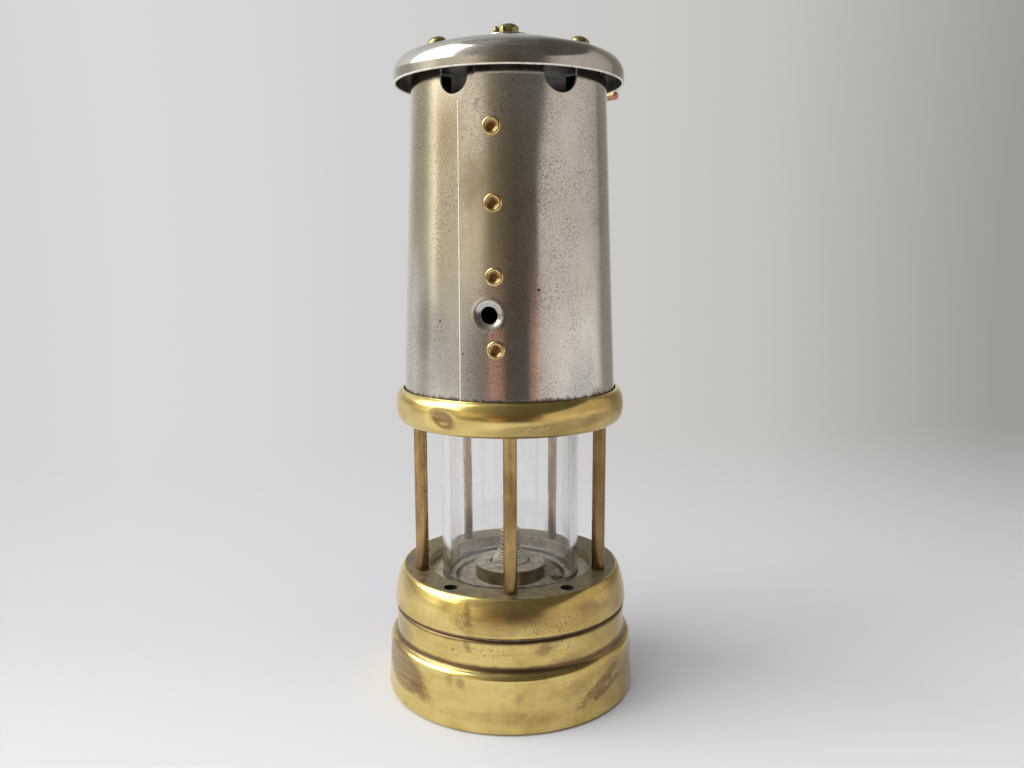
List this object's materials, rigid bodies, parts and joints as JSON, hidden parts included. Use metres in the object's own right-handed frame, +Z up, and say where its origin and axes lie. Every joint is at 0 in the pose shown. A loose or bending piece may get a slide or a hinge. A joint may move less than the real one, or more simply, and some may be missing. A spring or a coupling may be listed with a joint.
{
  "type": "flame safety lamp",
  "caption": "Miner's flame safety lamp: round brass oil vessel, glass in a pillared frame, wire gauzes, steel bonnet with vented hood, and a swivelling hook.",
  "frame": {"origin": "centre of the oil vessel's flat underside, on the lamp's axis", "axes": "+Z up along the lamp's axis, -Y towards the front, where the bonnet's riveted seam is, +X to the right seen from the front"},
  "size_m": [0.0824, 0.1359, 0.2091],
  "materials": {
    "polished_brass": "polished, with tarnish patches and pits",
    "aged_brass": "aged brown, dull",
    "dusty_brass": "dull under grey-brown dust",
    "rivet_brass": "polished by wear",
    "copper_rod": "coppery brass rod, worn",
    "worn_steel": "polished sheet with fine pitting",
    "dark_steel": "sooty, unpolished",
    "clear_glass": "clear, slightly hazy",
    "seal": "matt packing washer",
    "cotton": "plaited cotton, charred at the tip"
  },
  "bodies": {
    "vessel": {"vessel_body": "polished_brass", "vessel_bottom": "polished_brass", "spindle_gland": "aged_brass", "burner_disc": "dusty_brass", "wick_nozzle": "dusty_brass", "wick_tube": "dusty_brass"},
    "adjuster": {"adjuster_spindle": "aged_brass", "adjuster_knob": "polished_brass"},
    "wick_carrier": {"wick_carrier": "aged_brass", "wick": "cotton"},
    "vessel_seal": {"vessel_seal": "seal"},
    "frame": {"base_ring": "polished_brass", "middle_ring": "polished_brass", "pillar_1": "aged_brass", "pillar_2": "aged_brass", "pillar_3": "aged_brass", "pillar_4": "aged_brass", "pillar_5": "aged_brass", "glass": "clear_glass", "lower_gasket": "seal", "upper_gasket": "seal", "outer_gauze": "dark_steel", "inner_gauze": "dark_steel", "gauze_ring": "aged_brass", "gauze_clamp_ring": "aged_brass"},
    "bonnet": {"bonnet_shell": "worn_steel", "bonnet_foot_ring": "aged_brass", "seam_rivet_1": "rivet_brass", "seam_rivet_2": "rivet_brass", "seam_rivet_3": "rivet_brass", "seam_rivet_4": "rivet_brass", "hood": "worn_steel", "hood_bracket_1": "dark_steel", "hood_bracket_2": "dark_steel", "hood_bracket_3": "dark_steel", "hood_rivet_1": "rivet_brass", "hood_rivet_2": "rivet_brass", "hood_rivet_3": "rivet_brass", "swivel_washer": "worn_steel"},
    "swivel": {"swivel_post": "rivet_brass", "swivel_nut": "aged_brass", "hook_pin": "rivet_brass"},
    "hook": {"hook": "copper_rod"}
  },
  "joints": [
    {"name": "vessel_screw", "type": "hinge", "parent": "vessel", "child": "vessel_seal", "pos_m": [0, 0, 0.0284], "axis": [0, 0, 1], "range_deg": [0, 1800]},
    {"name": "vessel_thread", "type": "slide", "parent": "vessel_seal", "child": "frame", "axis": [0, 0, 1], "range_m": [0, 0.0076]},
    {"name": "bonnet_lift", "type": "slide", "parent": "frame", "child": "bonnet", "axis": [0, 0, 1], "range_m": [0, 0.1]},
    {"name": "swivel_turn", "type": "hinge", "parent": "bonnet", "child": "swivel", "pos_m": [0, 0, 0.204], "axis": [0, 0, 1], "continuous": true},
    {"name": "hook_tilt", "type": "hinge", "parent": "swivel", "child": "hook", "pos_m": [0, 0, 0.2071], "axis": [0.9903, -0.1392, 0], "range_deg": [0, 191]},
    {"name": "adjuster_turn", "type": "hinge", "parent": "vessel", "child": "adjuster", "pos_m": [0.01504, -0.00375, 0.0033], "axis": [0, 0, 1], "range_deg": [-720, 720]},
    {"name": "wick_travel", "type": "slide", "parent": "vessel", "child": "wick_carrier", "axis": [0, 0, 1], "range_m": [-0.00405, 0.00405]}
  ],
  "couplings": [
    {"joint": "vessel_thread", "follows": "vessel_screw", "m_per_rad": 0.00023873},
    {"joint": "wick_travel", "follows": "adjuster_turn", "m_per_rad": 0.00031831}
  ]
}
